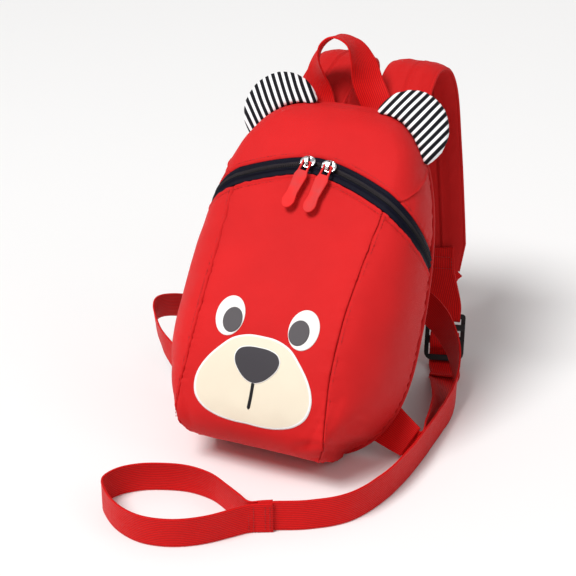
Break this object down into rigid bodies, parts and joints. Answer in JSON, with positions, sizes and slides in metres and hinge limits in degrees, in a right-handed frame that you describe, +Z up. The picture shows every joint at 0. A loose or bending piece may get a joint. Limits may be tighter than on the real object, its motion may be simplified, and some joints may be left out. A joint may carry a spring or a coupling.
{
  "type": "toddler harness backpack",
  "caption": "Small zipped toddler backpack with a bear face and round ears, padded shoulder straps, a fastened chest buckle and a clip-on leash ending in a hand loop.",
  "frame": {"origin": "middle of the flat patch that the bag rests on, at the bottom edge of its back", "axes": "+Z up; the bear's face looks along -Y and the straps hang behind, along +Y; +X is on the viewer's right when facing the bear"},
  "size_m": [0.2759, 0.406, 0.2938],
  "materials": {
    "red_cloth": "plain woven nylon",
    "red_webbing": "ribbed woven webbing",
    "navy_mesh": "padded air mesh",
    "navy_cloth": "plain woven",
    "striped_cloth": "white cloth with black stripes",
    "cream_print": "printed cloth",
    "white_print": "printed cloth",
    "grey_print": "printed cloth",
    "coil_plastic": "moulded coil",
    "black_plastic": "moulded acetal",
    "red_rubber": "soft moulded",
    "silver_metal": "plated"
  },
  "bodies": {
    "bag": {"front_panel": "red_cloth", "side_gusset_left": "red_cloth", "side_gusset_right": "red_cloth", "top_panel": "red_cloth", "side_yoke_left": "red_cloth", "side_yoke_right": "red_cloth", "piping": "red_cloth", "shoulder_strap_left": "red_cloth", "shoulder_strap_right": "red_cloth", "grab_handle": "red_webbing", "ring_tab": "red_webbing", "wing_tab_left": "red_webbing", "wing_tab_right": "red_webbing", "leash": "red_webbing", "hand_loop": "red_webbing", "strap_tab_left": "red_webbing", "strap_tab_right": "red_webbing", "lower_webbing_left": "red_webbing", "lower_webbing_right": "red_webbing", "chest_strap_left": "red_webbing", "chest_strap_right": "red_webbing", "back_panel": "navy_mesh", "zip_tape": "navy_cloth", "back_band": "navy_cloth", "ear_left": "striped_cloth", "ear_right": "striped_cloth", "muzzle": "cream_print", "eye_left": "white_print", "eye_right": "white_print", "nose": "grey_print", "mouth": "grey_print", "pupil_left": "grey_print", "pupil_right": "grey_print", "zip_coil": "coil_plastic", "d_ring": "black_plastic", "hook_base": "black_plastic", "ladder_lock_left": "black_plastic", "ladder_lock_right": "black_plastic", "buckle_female": "black_plastic", "buckle_male": "black_plastic", "slider_left": "silver_metal", "slider_right": "silver_metal"},
    "hook": {"hook_body": "black_plastic"},
    "gate": {"hook_gate": "black_plastic"},
    "zip_pull_left": {"pull_left": "red_rubber"},
    "zip_pull_right": {"pull_right": "red_rubber"}
  },
  "joints": [
    {"name": "hook_swivel", "type": "hinge", "parent": "bag", "child": "hook", "pos_m": [0, 0.1381, 0.15588], "axis": [0, 0, 1], "range_deg": [-14, 14]},
    {"name": "gate_lever", "type": "hinge", "parent": "hook", "child": "gate", "pos_m": [0, 0.1462, 0.16608], "axis": [1, 0, 0], "range_deg": [0, 18], "stiffness_Nm_per_rad": 0.01, "springref_deg": -17.19},
    {"name": "pull_hinge_left", "type": "hinge", "parent": "bag", "child": "zip_pull_left", "pos_m": [-0.00591, 0.06808, 0.21633], "axis": [-0.9898, 0.1094, 0.0908], "range_deg": [0, 120]},
    {"name": "pull_hinge_right", "type": "hinge", "parent": "bag", "child": "zip_pull_right", "pos_m": [0.01192, 0.06739, 0.21558], "axis": [-0.9908, 0.0873, 0.1036], "range_deg": [0, 120]}
  ]
}
